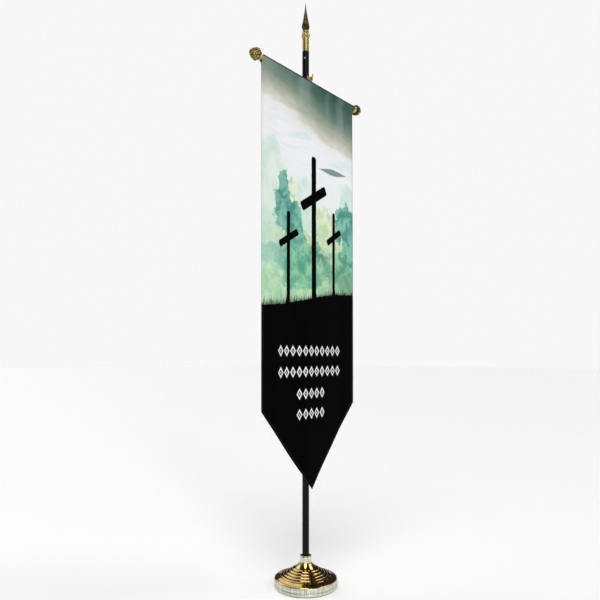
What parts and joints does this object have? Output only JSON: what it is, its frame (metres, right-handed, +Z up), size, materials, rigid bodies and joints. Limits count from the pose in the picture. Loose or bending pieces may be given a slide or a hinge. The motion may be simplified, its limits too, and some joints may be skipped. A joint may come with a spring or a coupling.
{
  "type": "flag pole stand",
  "caption": "Free-standing black pole with a spear point on a round weighted brass base; a crossbar with acorn finials hooks on and carries a long banner with a pointed end.",
  "frame": {"origin": "centre of the base on the floor, on the pole's axis", "axes": "+Z up along the pole, -Y the side that the banner faces, +X along the crossbar to the right as seen from the front"},
  "size_m": [0.735, 0.262, 2.438],
  "materials": {
    "felt": "pressed felt",
    "bright_rim": "bright, finely brushed",
    "plated_steel": "zinc plated",
    "cast_weight": "rough cast",
    "polished_brass": "polished",
    "turned_brass": "turned, lightly aged",
    "antique_brass": "dark in the hollows, bright on the edges",
    "black_plastic": "moulded",
    "black_enamel": "satin black enamel",
    "banner_cloth": "printed woven polyester"
  },
  "bodies": {
    "base": {"base_pad": "felt", "base_rim": "bright_rim", "base_plate": "plated_steel", "base_weight": "cast_weight", "base_shell": "polished_brass", "base_collar": "polished_brass", "base_socket": "plated_steel", "socket_liner": "black_plastic", "base_bolt": "plated_steel", "bolt_washer": "plated_steel"},
    "collar_screw": {"collar_screw": "polished_brass"},
    "lower_pole": {"pole_foot": "black_plastic", "lower_pole": "black_enamel", "joint_socket": "turned_brass"},
    "upper_pole": {"joint_stud": "turned_brass", "upper_pole": "black_enamel", "top_plug": "turned_brass", "plug_screw": "plated_steel", "pole_hook": "turned_brass", "hook_screws": "plated_steel"},
    "spear": {"spear_ferrule": "turned_brass", "spear_bead": "turned_brass", "spear_head": "antique_brass", "spear_stud": "plated_steel"},
    "crossbar": {"crossbar": "black_enamel", "bar_plugs": "turned_brass", "crossbar_hanger": "turned_brass", "hanger_screws": "plated_steel"},
    "left_finial": {"left_cup": "antique_brass", "left_acorn": "antique_brass", "left_stud": "plated_steel"},
    "right_finial": {"right_cup": "antique_brass", "right_acorn": "antique_brass", "right_stud": "plated_steel"},
    "banner": {"banner_sleeve": "banner_cloth", "banner_panel": "banner_cloth"}
  },
  "joints": [
    {"name": "pole_lift", "type": "slide", "parent": "base", "child": "lower_pole", "axis": [0, 0, 1], "range_m": [0, 0.118]},
    {"name": "upper_pole_turn", "type": "hinge", "parent": "lower_pole", "child": "upper_pole", "pos_m": [0, 0, 1.2], "axis": [0, 0, 1], "continuous": true},
    {"name": "spear_turn", "type": "hinge", "parent": "upper_pole", "child": "spear", "pos_m": [0, 0, 2.2283], "axis": [0, 0, 1], "continuous": true},
    {"name": "crossbar_rock", "type": "hinge", "parent": "upper_pole", "child": "crossbar", "pos_m": [0, -0.0285, 2.1083], "axis": [0, 1, 0], "range_deg": [-10, 10]},
    {"name": "banner_swing", "type": "hinge", "parent": "crossbar", "child": "banner", "pos_m": [0, -0.0285, 2.0813], "axis": [-1, 0, 0], "range_deg": [0, 20]},
    {"name": "left_finial_turn", "type": "hinge", "parent": "crossbar", "child": "left_finial", "pos_m": [-0.3195, -0.0285, 2.0813], "axis": [-1, 0, 0], "continuous": true},
    {"name": "right_finial_turn", "type": "hinge", "parent": "crossbar", "child": "right_finial", "pos_m": [0.3195, -0.0285, 2.0813], "axis": [1, 0, 0], "continuous": true},
    {"name": "collar_screw_turn", "type": "hinge", "parent": "base", "child": "collar_screw", "pos_m": [0.01865, 0.0151, 0.115], "axis": [0.7771, 0.6293, 0], "continuous": true}
  ]
}
